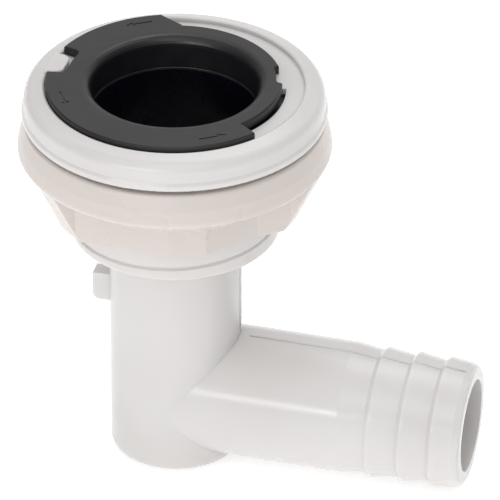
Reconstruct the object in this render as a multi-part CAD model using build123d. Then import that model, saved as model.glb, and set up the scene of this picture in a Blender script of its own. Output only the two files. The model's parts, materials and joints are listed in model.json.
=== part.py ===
from build123d import *
from math import cos, radians, sin
import os

# Through-hull fitting. Millimetres. +Z runs up the barrel axis towards the flange,
# +X runs along the hose tail. The origin is on the barrel axis, level with the
# flange's underside, so the hull skin starts at z = 0 and lies below it.

# flange and twist-lock recess
FLANGE_R = 34.1
RIDGE_R = 33.5
LIP_R = 29.0
LIP_TOP = 7.27
FLOOR_Z = 6.06
SHELF_R = 21.8
SHELF_UNDER = 4.6
TRACK_R = 24.8
TRACK_Z = 2.7
COUNTERBORE_R = 21.9
COUNTERBORE_Z = -3.0
LUG_SLOTS = ((-41.5, 14.0), (138.5, 194.0))
NUB_AZ = 177.6
NUB_W = 7.8
NUB_IN_R = 25.2
NUB_TOP = 8.1
NUB_CORNER = 2.2
PIP_AZ = 18.5

# threaded barrel
BARREL_R = 23.4
BARREL_BORE_R = 20.5
BARREL_END = -29.75
BARREL_FLOOR = -27.2
THREAD_PITCH = 5.0
THREAD_DEPTH = 0.5
THREAD_START_AZ = -185
THREAD_START_Z = -28.2

# elbow and hose tail, which droops a little below square
TUBE_R = 15.0
TUBE_BORE_R = 12.4
FOOT_Z = -86.5
TAIL_Z = -71.4
TAIL_DROOP = 1.0
TAIL_PLAIN_R = 14.95
TAIL_PLAIN_FROM = 17.5
TAIL_PLAIN_TO = 40.7
TAIL_CREST_R = 14.85
TAIL_ROOTS = ((46.8, 14.1), (54.2, 13.95), (61.4, 13.85))
TAIL_END = 68.9
TAIL_BORE_R = 10.6
KEY_OUT = 19.0
KEY_TOP = -44.2
KEY_LOW = -51.1
KEY_W = 4.0

# lock ring
SOCKET_R = 18.6
SOCKET_LIP = 2.4
RING_TOP = 8.3
RING_UNDER = 6.16
RING_FULL_R = 28.8
RING_SMALL_R = 23.95
SKIRT_R = 21.4
SKIRT_END = 2.8
NECK_R = 20.0
NECK_END = 0.6
BEAD_R = 20.55
BEAD_Z = 1.55
LUG_R = 24.2
LUG_LOW = 3.0
LUG_TOP = 4.3
LUG_SPANS = ((-40.5, 13.0), (139.5, 193.0))
HALF_FLANGE = (111.5, 322.5)
SLANT_AZ = 101.0
NOTCH = (163.8, 187.2)
NOTCH_R = 24.3
EDGE_NOTCH = (11.0, 29.0)
EDGE_NOTCH_R = 22.6
MARK_DEPTH = 0.12

# socket sleeve
SLEEVE_R = 20.2
SLEEVE_FOOT = -26.15
COLLAR_R = 21.6
COLLAR_Z = -1.9
COLLAR_TOP = 2.6
COLLAR_IN = 20.3
BEAD_GROOVE_R = 20.85
POCKET_Z = -0.35
POCKET_TOP = 0.45
POCKET_R = 19.6
SEAT_R = 15.5

# nut and gasket
NUT_TOP = -1.3
NUT_END = -21.7
NUT_BORE_R = 23.8
RIM_TOP_R = 33.5
RIM_R = 35.1
RIM_Z = -8.3
NUT_MID_AZ = -69.5
FLAT_TURN = 27
FLAT_REACH = 25.0
MID_REACH = 25.9
GRIP_END_R = 28.7
GRIP_BASE_W = 18.0
GRIP_W = 6.0
GASKET_R = 31.0
GASKET_BORE_R = 23.9


def turned(points):
    """Solid of revolution about Z from (radius, height) corners."""
    with BuildPart() as p:
        with BuildSketch(Plane.XZ):
            with BuildLine():
                Polyline(*points, close=True)
            make_face()
        revolve(axis=Axis.Z)
    return p.part


def drum(r_out, r_in, z_low, z_high):
    """Plain ring, or a disc when the inner radius is zero."""
    mid = (z_low + z_high) / 2
    body = Pos(0, 0, mid) * Cylinder(r_out, z_high - z_low)
    if r_in > 0:
        body -= Pos(0, 0, mid) * Cylinder(r_in, z_high - z_low + 2)
    return body


def wedge(a0, a1, reach, z_low, z_high):
    """Pie slice between two azimuths, used to limit rings to a sector."""
    steps = 8
    pts = [(0, 0)]
    for i in range(steps + 1):
        a = radians(a0 + (a1 - a0) * i / steps)
        pts.append((reach * cos(a), reach * sin(a)))
    face = make_face(Polyline(*pts, close=True))
    return Pos(0, 0, z_low) * extrude(face, z_high - z_low)


def sector(r_out, r_in, a0, a1, z_low, z_high):
    ring = drum(r_out, r_in, z_low, z_high)
    return ring & wedge(a0, a1, r_out * 1.4, z_low - 1, z_high + 1)


def o_ring(major, minor, z):
    return Pos(0, 0, z) * Torus(major, minor)


def soften(part, radius, *corners):
    """Round the full circular edges that run through (radius, height) corners."""
    chosen = [
        edge for edge in part.edges().filter_by(GeomType.CIRCLE)
        if any(abs(edge.radius - r) < 0.001 and abs(edge.center().Z - z) < 0.001 for r, z in corners)
    ]
    return fillet(chosen, radius)


def at(radius, azimuth):
    """Plan position from radius and azimuth."""
    return (radius * cos(radians(azimuth)), radius * sin(radians(azimuth)))


# ---------------------------------------------------------------- hull body
body = turned([
    (BARREL_BORE_R, BARREL_FLOOR), (TUBE_R, BARREL_FLOOR), (TUBE_R, BARREL_END),
    (BARREL_R, BARREL_END), (BARREL_R, 0), (FLANGE_R, 0), (FLANGE_R, 1.3),
    (RIDGE_R + 0.25, 2.0), (RIDGE_R, 4.9), (RIDGE_R - 1.0, 6.35), (LIP_R + 0.5, LIP_TOP),
    (LIP_R, LIP_TOP - 0.3), (LIP_R, FLOOR_Z), (SHELF_R, FLOOR_Z), (SHELF_R, SHELF_UNDER),
    (TRACK_R, SHELF_UNDER), (TRACK_R, TRACK_Z), (COUNTERBORE_R, TRACK_Z),
    (COUNTERBORE_R, COUNTERBORE_Z), (BARREL_BORE_R, COUNTERBORE_Z),
])
body = soften(body, 2.0, (RIDGE_R, 4.9), (RIDGE_R - 1.0, 6.35))
body = soften(body, 0.4, (FLANGE_R, 0), (FLANGE_R, 1.3))
body = soften(body, 0.3, (LIP_R + 0.5, LIP_TOP))
body = soften(body, 0.5, (BARREL_R, BARREL_END))
for a0, a1 in LUG_SLOTS:
    body -= sector(TRACK_R, SHELF_R - 1, a0, a1, SHELF_UNDER - 0.1, FLOOR_Z + 0.5)

# stop nub: a round-nosed peg that runs in from the lip, opposite the hose tail
nub_low = FLOOR_Z - 0.1
nub_outline = RectangleRounded(3 * NUB_W, NUB_W, NUB_CORNER, align=(Align.MIN, Align.CENTER))
nub = Pos(NUB_IN_R, 0, nub_low) * extrude(nub_outline, NUB_TOP - nub_low)
nub &= drum(LIP_R + 0.4, 20, nub_low, NUB_TOP)
nub = fillet(nub.faces().sort_by(Axis.Z)[-1].edges(), 0.45)
body += Rot(0, 0, NUB_AZ) * nub
# detent pip in the ring's edge notch
body += Pos(*at(EDGE_NOTCH_R + 0.75, PIP_AZ), FLOOR_Z + 0.1) * Cylinder(0.35, 0.7)

# right-hand thread: one shallow helical groove between broad lands
turn = Helix(pitch=THREAD_PITCH, height=22.5, radius=BARREL_R + 0.2)
cutter = Plane(origin=turn @ 0, x_dir=(1, 0, 0), z_dir=(0, 1, 0))
groove_face = cutter * make_face(Polyline(
    (0.4, 0.95), (-0.2 - THREAD_DEPTH, 0.2), (-0.2 - THREAD_DEPTH, -0.2), (0.4, -0.95), close=True
))
groove = sweep(groove_face, path=turn, is_frenet=True)
body -= Pos(0, 0, THREAD_START_Z) * Rot(0, 0, THREAD_START_AZ) * groove
body.label = "hull_body"

# --------------------------------------------------------------- elbow tail
tube = turned([
    (0, FOOT_Z), (13.7, FOOT_Z), (14.55, FOOT_Z + 0.35), (14.9, FOOT_Z + 1.2),
    (TUBE_R, BARREL_END), (TUBE_R, BARREL_FLOOR), (0, BARREL_FLOOR),
])
tail_points = [(0, 0), (TAIL_PLAIN_R - 0.15, 0), (TAIL_PLAIN_R, TAIL_PLAIN_FROM)]
tail_points += [(TAIL_PLAIN_R, TAIL_PLAIN_TO)]
for root, root_r in TAIL_ROOTS:
    tail_points += [(root_r, root), (TAIL_CREST_R, root + 1.0), (TAIL_CREST_R - 0.06, root + 1.6)]
tail_points += [(14.25, TAIL_END - 1.7), (13.75, TAIL_END - 0.5), (12.9, TAIL_END), (0, TAIL_END)]
tail_frame = Pos(0, 0, TAIL_Z) * Rot(0, 90 + TAIL_DROOP, 0)
elbow = tube + tail_frame * turned(tail_points)
elbow -= Pos(0, 0, (BARREL_FLOOR + TAIL_Z) / 2) * Cylinder(
    TUBE_BORE_R, BARREL_FLOOR - TAIL_Z + 2
)
elbow -= Pos(0, 0, TAIL_Z) * Sphere(TUBE_BORE_R)
elbow -= tail_frame * Pos(0, 0, TAIL_END / 2) * Cylinder(TAIL_BORE_R, TAIL_END + 4)

# key lug on the tube, opposite the hose tail, with its lower corner rounded
key_mid = (KEY_TOP + KEY_LOW) / 2
key_in = TUBE_R - 1.5
key = Pos(-(KEY_OUT + key_in) / 2, 0, key_mid) * Box(KEY_OUT - key_in, KEY_W, KEY_TOP - KEY_LOW)
low_edge = key.edges().filter_by(Axis.Y).group_by(Axis.Z)[0].sort_by(Axis.X)[0]
key = fillet(low_edge, 1.6)
elbow += key
elbow.label = "elbow_tail"

# ---------------------------------------------------------------- lock ring
mouth = []
for i in range(7):
    a = radians(90 * i / 6)
    mouth.append((SOCKET_R + SOCKET_LIP * (1 - cos(a)), RING_TOP - SOCKET_LIP * (1 - sin(a))))
ring = turned([(SOCKET_R, NECK_END)] + mouth + [
    (RING_SMALL_R - 0.3, RING_TOP), (RING_SMALL_R, RING_TOP - 0.3),
    (RING_SMALL_R, RING_UNDER), (SKIRT_R, RING_UNDER), (SKIRT_R, SKIRT_END),
    (NECK_R, SKIRT_END), (NECK_R, BEAD_Z + 0.3), (BEAD_R, BEAD_Z + 0.15),
    (BEAD_R, BEAD_Z - 0.15), (NECK_R, BEAD_Z - 0.3), (NECK_R, NECK_END),
])
# half flange: it starts with a slanted end, stops square, and is notched round the nub
plate = turned([
    (SKIRT_R - 0.4, RING_UNDER), (RING_FULL_R, RING_UNDER), (RING_FULL_R, RING_TOP - 0.25),
    (RING_FULL_R - 0.25, RING_TOP), (SKIRT_R - 0.4, RING_TOP),
])
slanted_end = make_face(Polyline(
    (0, 0), at(RING_SMALL_R, SLANT_AZ), at(RING_FULL_R, HALF_FLANGE[0]),
    at(40, HALF_FLANGE[0]), at(40, HALF_FLANGE[0] + 20), close=True
))
reach = wedge(*HALF_FLANGE, 44, 4, 10) + Pos(0, 0, 4) * extrude(slanted_end, 6)
notch = sector(40, NOTCH_R, *NOTCH, 4, 10)
inner_corners = notch.edges().filter_by(Axis.Z).filter_by(lambda edge: edge.center().X > -26)
notch = fillet(inner_corners, 1.5)
plate = (plate & reach) - notch
ring += plate
for a0, a1 in LUG_SPANS:
    ring += sector(LUG_R, SKIRT_R - 0.6, a0, a1, LUG_LOW, LUG_TOP)
# finger notch in the ring's plain edge
edge_notch = sector(40, EDGE_NOTCH_R, *EDGE_NOTCH, RING_UNDER - 0.01, RING_TOP + 1)
inner_corners = edge_notch.edges().filter_by(Axis.Z).filter_by(lambda edge: edge.center().X < 30)
ring -= fillet(inner_corners, 1.0)
# curved arrows that show which way the ring turns
for az in (122, 212, 303):
    mark = sector(26.1, 25.6, az - 6, az + 4, RING_TOP - MARK_DEPTH, RING_TOP + 0.5)
    head = make_face(Polyline((26.8, -0.1), (24.9, -0.1), (25.85, 1.7), close=True))
    mark += Pos(0, 0, RING_TOP - MARK_DEPTH) * Rot(0, 0, az + 4) * extrude(head, 0.5 + MARK_DEPTH)
    ring -= mark
ring.label = "lock_ring"

# ------------------------------------------------------------ socket sleeve
sleeve = turned([
    (SEAT_R, SLEEVE_FOOT), (SLEEVE_R - 0.4, SLEEVE_FOOT), (SLEEVE_R, SLEEVE_FOOT + 0.4),
    (SLEEVE_R, COLLAR_Z), (COLLAR_R, COLLAR_Z), (COLLAR_R, COLLAR_TOP),
    (COLLAR_IN, COLLAR_TOP), (COLLAR_IN, BEAD_Z + 0.5), (BEAD_GROOVE_R, BEAD_Z + 0.4),
    (BEAD_GROOVE_R, BEAD_Z - 0.4), (COLLAR_IN, BEAD_Z - 0.5), (COLLAR_IN, POCKET_TOP),
    (POCKET_R, POCKET_TOP), (POCKET_R, POCKET_Z), (SOCKET_R, POCKET_Z),
    (SOCKET_R, SLEEVE_FOOT + 1.5), (SEAT_R, SLEEVE_FOOT + 1.5),
])
sleeve.label = "socket_sleeve"

# plug seal: a flat ring with rounded corners, flush with the socket wall
seal_in = SOCKET_R + 0.05
seal_out = POCKET_R - 0.05
seal_low = POCKET_Z + 0.05
seal_top = POCKET_TOP - 0.05
plug_seal = drum(seal_out, seal_in, seal_low, seal_top)
plug_seal = fillet(plug_seal.edges().filter_by(GeomType.CIRCLE), 0.2)
plug_seal.label = "plug_seal"
collar_seal = o_ring(20.8, 0.54, -2.45)
collar_seal.label = "collar_seal"
foot_seal = drum(19.6, 15.7, -27.15, SLEEVE_FOOT)
foot_seal.label = "foot_seal"

# ---------------------------------------------------------------- lock nut
rim = turned([
    (NUT_BORE_R, NUT_TOP), (RIM_TOP_R, NUT_TOP), (34.6, -5.0), (RIM_R, -7.6),
    (RIM_R, RIM_Z), (34.7, -9.0), (25.6, -15.5), (NUT_BORE_R, -15.5),
])
rim = soften(rim, 0.8, (RIM_TOP_R, NUT_TOP))
cone = turned([(0, NUT_END), (GRIP_END_R, NUT_END), (RIM_R, RIM_Z), (0, RIM_Z)])
nut_mid = (NUT_END + RIM_Z) / 2
nut_h = RIM_Z - NUT_END
# three sides, each with a pair of wide flats and a narrow one between them
lower = cone
for side in range(3):
    for twist, dist in ((-FLAT_TURN, FLAT_REACH), (0, MID_REACH), (FLAT_TURN, FLAT_REACH)):
        cut = Rot(0, 0, NUT_MID_AZ + 120 * side + twist) * Pos(dist + 10, 0, nut_mid)
        lower -= cut * Box(20, 60, nut_h + 2)
# three grips at the corners between the sides
grip_face = make_face(Polyline(
    (20, GRIP_BASE_W / 2), (24, GRIP_BASE_W / 2), (29.5, GRIP_W / 2), (38, GRIP_W / 2 - 0.6),
    (38, 0.6 - GRIP_W / 2), (29.5, -GRIP_W / 2), (24, -GRIP_BASE_W / 2), (20, -GRIP_BASE_W / 2),
    close=True
))
nut = rim + lower
for side in range(3):
    grip = Pos(0, 0, NUT_END) * extrude(grip_face, nut_h)
    nut += cone & (Rot(0, 0, NUT_MID_AZ + 60 + 120 * side) * grip)
nut -= Pos(0, 0, (NUT_TOP + NUT_END) / 2) * Cylinder(NUT_BORE_R, 30)
nut.label = "lock_nut"

gasket = drum(GASKET_R, GASKET_BORE_R, NUT_TOP, -0.05)
gasket.label = "hull_gasket"

os.makedirs("parts", exist_ok=True)
for piece in (body, elbow, ring, sleeve, plug_seal, collar_seal, foot_seal, nut, gasket):
    solids = piece.solids()
    print(piece.label, len(solids), round(sum(s.volume for s in solids)))
    export_step(solids[0] if len(solids) == 1 else piece, f"parts/{piece.label}.step")
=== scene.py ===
# Looks for the through-hull fitting. Everything is in metres, in the CAD model's own frame:
# +Z up the barrel axis, +X along the hose tail, origin level with the flange's underside.
import json
from math import cos, pi, radians, sin

import bmesh
import bpy
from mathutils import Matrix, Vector


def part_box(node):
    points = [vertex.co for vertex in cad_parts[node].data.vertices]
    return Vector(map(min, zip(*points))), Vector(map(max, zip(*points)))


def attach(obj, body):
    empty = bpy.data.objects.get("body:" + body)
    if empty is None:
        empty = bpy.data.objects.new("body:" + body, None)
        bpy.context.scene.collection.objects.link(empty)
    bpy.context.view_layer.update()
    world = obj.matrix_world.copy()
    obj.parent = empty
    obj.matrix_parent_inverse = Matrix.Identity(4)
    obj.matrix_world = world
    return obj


MM = 0.001

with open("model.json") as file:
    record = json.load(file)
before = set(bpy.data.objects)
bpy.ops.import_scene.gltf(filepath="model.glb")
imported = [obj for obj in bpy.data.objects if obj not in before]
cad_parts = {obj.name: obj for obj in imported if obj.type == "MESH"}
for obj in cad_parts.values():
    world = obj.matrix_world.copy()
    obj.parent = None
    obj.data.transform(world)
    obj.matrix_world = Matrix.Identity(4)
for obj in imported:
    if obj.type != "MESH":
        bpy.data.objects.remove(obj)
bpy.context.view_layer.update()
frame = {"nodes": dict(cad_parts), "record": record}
nodes = frame["nodes"]
mounts = {m["name"]: m for m in frame["record"]["mounts"]}
FLOOR_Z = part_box("elbow_tail")[0][2]


# ------------------------------------------------------------------ camera
def make_camera():
    """Long lens, a little above the flange and turned towards the hose tail's open end."""
    turn = radians(15.1)
    reach = 1.32  # level distance from the barrel's axis
    height = 0.802
    aside = 16.738 * MM
    down = -36.604 * MM
    data = bpy.data.cameras.new("camera")
    data.sensor_width = 36
    data.lens = 499.9
    data.clip_start = 0.05
    data.clip_end = 20
    cam = bpy.data.objects.new("camera", data)
    bpy.context.scene.collection.objects.link(cam)
    cam.location = (reach * sin(turn), -reach * cos(turn), height)
    aim = Vector((aside * cos(turn), aside * sin(turn), down))
    cam.rotation_euler = (aim - cam.location).to_track_quat("-Z", "Y").to_euler()
    bpy.context.scene.camera = cam


make_camera()


# --------------------------------------------------------------- materials
NOISE_RANGE = (0.3, 0.7)  # the part of a noise's output that holds nearly all of it


class Nodes:
    """Small helper that adds and wires shader nodes in one material."""

    def __init__(self, name, color, roughness, **sockets):
        self.mat = bpy.data.materials.new(name)
        self.mat.use_nodes = True
        self.tree = self.mat.node_tree
        self.shader = self.tree.nodes["Principled BSDF"]
        self.shader.inputs["Base Color"].default_value = (*color, 1)
        self.shader.inputs["Roughness"].default_value = roughness
        for key, value in sockets.items():
            self.shader.inputs[key.replace("_", " ")].default_value = value
        self.coords = self.add("ShaderNodeTexCoord").outputs["Object"]

    def add(self, kind, **values):
        node = self.tree.nodes.new(kind)
        for key, value in values.items():
            node.inputs[key].default_value = value
        return node

    def wire(self, a, b):
        self.tree.links.new(a, b)

    def noise(self, scale, detail=3.0):
        node = self.add("ShaderNodeTexNoise", Scale=scale, Detail=detail)
        self.wire(self.coords, node.inputs["Vector"])
        return node.outputs["Fac"]

    def tint(self, value, dark, light):
        ramp = self.add("ShaderNodeValToRGB")
        for stop, place, color in zip(ramp.color_ramp.elements, NOISE_RANGE, (dark, light)):
            stop.position = place
            stop.color = (*color, 1)
        self.wire(value, ramp.inputs["Fac"])
        self.wire(ramp.outputs["Color"], self.shader.inputs["Base Color"])

    def rough(self, value, low, high):
        node = self.add("ShaderNodeMapRange")
        node.inputs["From Min"].default_value = NOISE_RANGE[0]
        node.inputs["From Max"].default_value = NOISE_RANGE[1]
        node.inputs["To Min"].default_value = low
        node.inputs["To Max"].default_value = high
        self.wire(value, node.inputs["Value"])
        self.wire(node.outputs["Result"], self.shader.inputs["Roughness"])

    def bump(self, value, depth_mm):
        node = self.add("ShaderNodeBump", Strength=1.0, Distance=depth_mm * MM)
        self.wire(value, node.inputs["Height"])
        self.wire(node.outputs["Normal"], self.shader.inputs["Normal"])


def white_plastic():
    """Semi-gloss moulded white: faint flow marks and a fine uneven sheen."""
    m = Nodes("white_plastic", (0.66, 0.66, 0.67), 0.3, Subsurface_Weight=0.35, IOR=1.5)
    m.shader.inputs["Subsurface Radius"].default_value = (1.0, 0.9, 0.85)
    m.shader.inputs["Subsurface Scale"].default_value = 2.5 * MM
    m.tint(m.noise(30, 2), (0.655, 0.635, 0.625), (0.695, 0.68, 0.675))
    m.rough(m.noise(120, 4), 0.17, 0.27)
    m.bump(m.noise(90, 2), 0.012)
    return m.mat


def cream_plastic():
    """Warm cream moulding, a little rougher than the white and more even in color."""
    m = Nodes("cream_plastic", (0.64, 0.57, 0.52), 0.34, Subsurface_Weight=0.1, IOR=1.5)
    m.shader.inputs["Subsurface Radius"].default_value = (1.0, 0.85, 0.7)
    m.shader.inputs["Subsurface Scale"].default_value = 1.0 * MM
    m.tint(m.noise(28, 1), (0.64, 0.585, 0.55), (0.66, 0.605, 0.57))
    m.rough(m.noise(60, 2), 0.26, 0.32)
    return m.mat


def black_plastic():
    """Satin black moulding with a fine even grain."""
    m = Nodes("black_plastic", (0.02, 0.02, 0.022), 0.36, IOR=1.5)
    m.tint(m.noise(70), (0.008, 0.0075, 0.009), (0.014, 0.0135, 0.016))
    m.rough(m.noise(260, 6), 0.28, 0.42)
    m.bump(m.noise(1300, 3), 0.012)
    return m.mat


def bore_black_painted_shade():
    """The sleeve's black, made darker than the ring's as painted shade deep in the bore, and wetter
    and smoother than the ring's top.
    """
    m = Nodes("bore_black_painted_shade", (0.004, 0.003, 0.007), 0.25, IOR=1.45)
    # darker base and tint than black_plastic: painted shade for the deep bore
    m.tint(m.noise(60), (0.002, 0.0015, 0.004), (0.006, 0.004, 0.01))
    m.rough(m.noise(200, 5), 0.2, 0.32)
    m.bump(m.noise(900, 3), 0.01)
    return m.mat


def wet_rubber():
    """Greased seal whose edge catches the light."""
    m = Nodes("wet_rubber", (0.03, 0.03, 0.032), 0.12, IOR=1.5)
    m.tint(m.noise(120), (0.02, 0.02, 0.022), (0.04, 0.04, 0.043))
    m.rough(m.noise(300, 4), 0.08, 0.18)
    m.bump(m.noise(700, 3), 0.01)
    return m.mat


def seal_rubber():
    """Matte rubber with a dusty bloom."""
    m = Nodes("seal_rubber", (0.02, 0.02, 0.02), 0.5)
    m.tint(m.noise(120), (0.014, 0.014, 0.015), (0.026, 0.026, 0.027))
    m.rough(m.noise(300, 4), 0.42, 0.6)
    m.bump(m.noise(900, 3), 0.02)
    return m.mat


LOOKS = {
    "white_plastic": white_plastic(),
    "cream_plastic": cream_plastic(),
    "black_plastic": black_plastic(),
    "seal_rubber": seal_rubber(),
}
for part in frame["record"]["subparts"]:
    obj = nodes[part["node"]]
    obj.data.materials.clear()
    obj.data.materials.append(LOOKS[part["material_slot"]])
# the socket sleeve gets a darker copy of the black plastic: painted shade deep in the bore
nodes["socket_sleeve"].data.materials[0] = bore_black_painted_shade()
nodes["plug_seal"].data.materials[0] = wet_rubber()


# ---------------------------------------------------------- moulding seams
SEAM_W = 0.45 * MM
SEAM_H = 0.14 * MM
SEAM_STEPS = 6  # faces across the rounded top
TAIL_R = 14.95  # plain length of the tail
TAIL_FROM, TAIL_TO = 17.0, 40.7
CREST_R = 14.85
ROOTS = ((46.8, 14.1), (54.2, 13.95), (61.4, 13.85))
SEAM_END = (67.2, 14.25)  # where the tail's rounded mouth starts
TUBE_SEAM_R = 14.97


def seam(name, line):
    """Thin raised parting line with a rounded top, through (place, outward) pairs."""
    mesh = bpy.data.meshes.new(name)
    obj = bpy.data.objects.new(name, mesh)
    bpy.context.scene.collection.objects.link(obj)
    bm = bmesh.new()
    rows = []
    for i, (place, out) in enumerate(line):
        before = line[max(i - 1, 0)][0]
        after = line[min(i + 1, len(line) - 1)][0]
        side = (after - before).cross(out).normalized()
        row = []
        for k in range(SEAM_STEPS + 1):
            t = pi * k / SEAM_STEPS
            lift = SEAM_H * (sin(t) * 1.4 - 0.4)
            row.append(bm.verts.new(place + side * cos(t) * SEAM_W / 2 + out * lift))
        rows.append(row)
    for low, high in zip(rows, rows[1:]):
        for k in range(SEAM_STEPS):
            bm.faces.new((low[k], low[k + 1], high[k + 1], high[k]))
        bm.faces.new((low[-1], low[0], high[0], high[-1]))
    bm.faces.new(rows[0])
    bm.faces.new(reversed(rows[-1]))
    bmesh.ops.recalc_face_normals(bm, faces=bm.faces)
    bm.to_mesh(mesh)
    bm.free()
    for face in mesh.polygons:
        face.use_smooth = True
    obj.data.materials.append(LOOKS["white_plastic"])
    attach(obj, "fitting")


def tail_line():
    """Seam along the top of the tail, following its ridges."""
    tail = mounts["hose_tail"]
    along = Vector(tail["axis"])
    out = Vector((-along.z, 0, along.x))
    profile = [(TAIL_FROM, TAIL_R), (TAIL_TO, TAIL_R)]
    for root, low in ROOTS:
        profile += [(root, low), (root + 1.0, CREST_R), (root + 1.6, CREST_R - 0.06)]
    profile.append(SEAM_END)
    # the tail's own axis starts on the barrel's axis
    foot = Vector(tail["pos_m"]) - along * (tail["pos_m"][0] / along.x)
    return [(foot + along * x * MM + out * r * MM, out) for x, r in profile]


def tube_line(out, low, high):
    """Upright seam on the down tube, on the side that faces out."""
    heights = (low, (low + high) / 2, high)
    return [(Vector((0, 0, z * MM)) + out * TUBE_SEAM_R * MM, out) for z in heights]


# ---------------------------------------------------------- floor and light
WORLD = 0.82
SIDE_DIM = 0.3  # share of the world's light left at the far left and right
SIDE_FROM, SIDE_TO = 0.35, 0.9
FLOOR_DROP = 0.2 * MM


def make_floor():
    """Staged white floor just under the fitting's lowest point."""
    bpy.ops.mesh.primitive_plane_add(size=12, location=(0, 0, FLOOR_Z - FLOOR_DROP))
    floor = bpy.context.object
    floor.name = "floor"
    mat = bpy.data.materials.new("floor_white")
    mat.use_nodes = True
    shader = mat.node_tree.nodes["Principled BSDF"]
    shader.inputs["Base Color"].default_value = (0.96, 0.96, 0.96, 1)
    shader.inputs["Roughness"].default_value = 0.9
    shader.inputs["Emission Color"].default_value = (1, 1, 1, 1)
    shader.inputs["Emission Strength"].default_value = 0.36
    floor.data.materials.append(mat)


def softbox(name, place, target, size, watts):
    """Rectangular area light at a place, turned towards a target."""
    data = bpy.data.lights.new(name, "AREA")
    data.shape = "RECTANGLE"
    data.size, data.size_y = size
    data.energy = watts
    lamp = bpy.data.objects.new(name, data)
    bpy.context.scene.collection.objects.link(lamp)
    lamp.location = place
    lamp.rotation_euler = (Vector(target) - Vector(place)).to_track_quat("-Z", "Y").to_euler()


def make_light():
    """White room, dimmer to the left and right, with soft windows in front, behind and overhead."""
    world = bpy.data.worlds.new("world")
    bpy.context.scene.world = world
    world.use_nodes = True
    tree = world.node_tree
    back = tree.nodes["Background"]
    back.inputs["Strength"].default_value = WORLD
    sides = tree.nodes.new("ShaderNodeSeparateXYZ")
    tree.links.new(tree.nodes.new("ShaderNodeTexCoord").outputs["Generated"], sides.inputs[0])
    reach = tree.nodes.new("ShaderNodeMath")
    reach.operation = "ABSOLUTE"
    tree.links.new(sides.outputs["X"], reach.inputs[0])
    ramp = tree.nodes.new("ShaderNodeValToRGB")
    for stop, place, level in zip(ramp.color_ramp.elements, (SIDE_FROM, SIDE_TO), (1, SIDE_DIM)):
        stop.position = place
        stop.color = (level, level, level, 1)
    tree.links.new(reach.outputs[0], ramp.inputs["Fac"])
    tree.links.new(ramp.outputs["Color"], back.inputs["Color"])
    middle = (0, 0, -0.03)
    softbox("front_strip", (-0.26, -1.2, 0.33), (0.02, 0, -0.05), (0.75, 0.11), 2.6)
    softbox("left_front", (-0.50, -0.85, 0.95), middle, (0.35, 0.25), 0.2)
    softbox("right_front", (0.35, -0.80, 0.95), (0.03, 0, -0.05), (0.8, 0.6), 1.4)
    softbox("overhead", (-0.1, 0.5, 1.1), middle, (0.9, 0.5), 1.6)
    softbox("back_right", (0.25, 0.32, 0.80), (0.05, 0, -0.05), (0.8, 0.6), 1.4)


seam("tail_seam_top", tail_line())
seam("tube_seam_tail_side", tube_line(Vector((1, 0, 0)), -55.5, -30.0))
seam("tube_seam_key_side", tube_line(Vector((-1, 0, 0)), -84.0, -51.5))
make_floor()
make_light()
bpy.context.scene.view_settings.view_transform = "Standard"
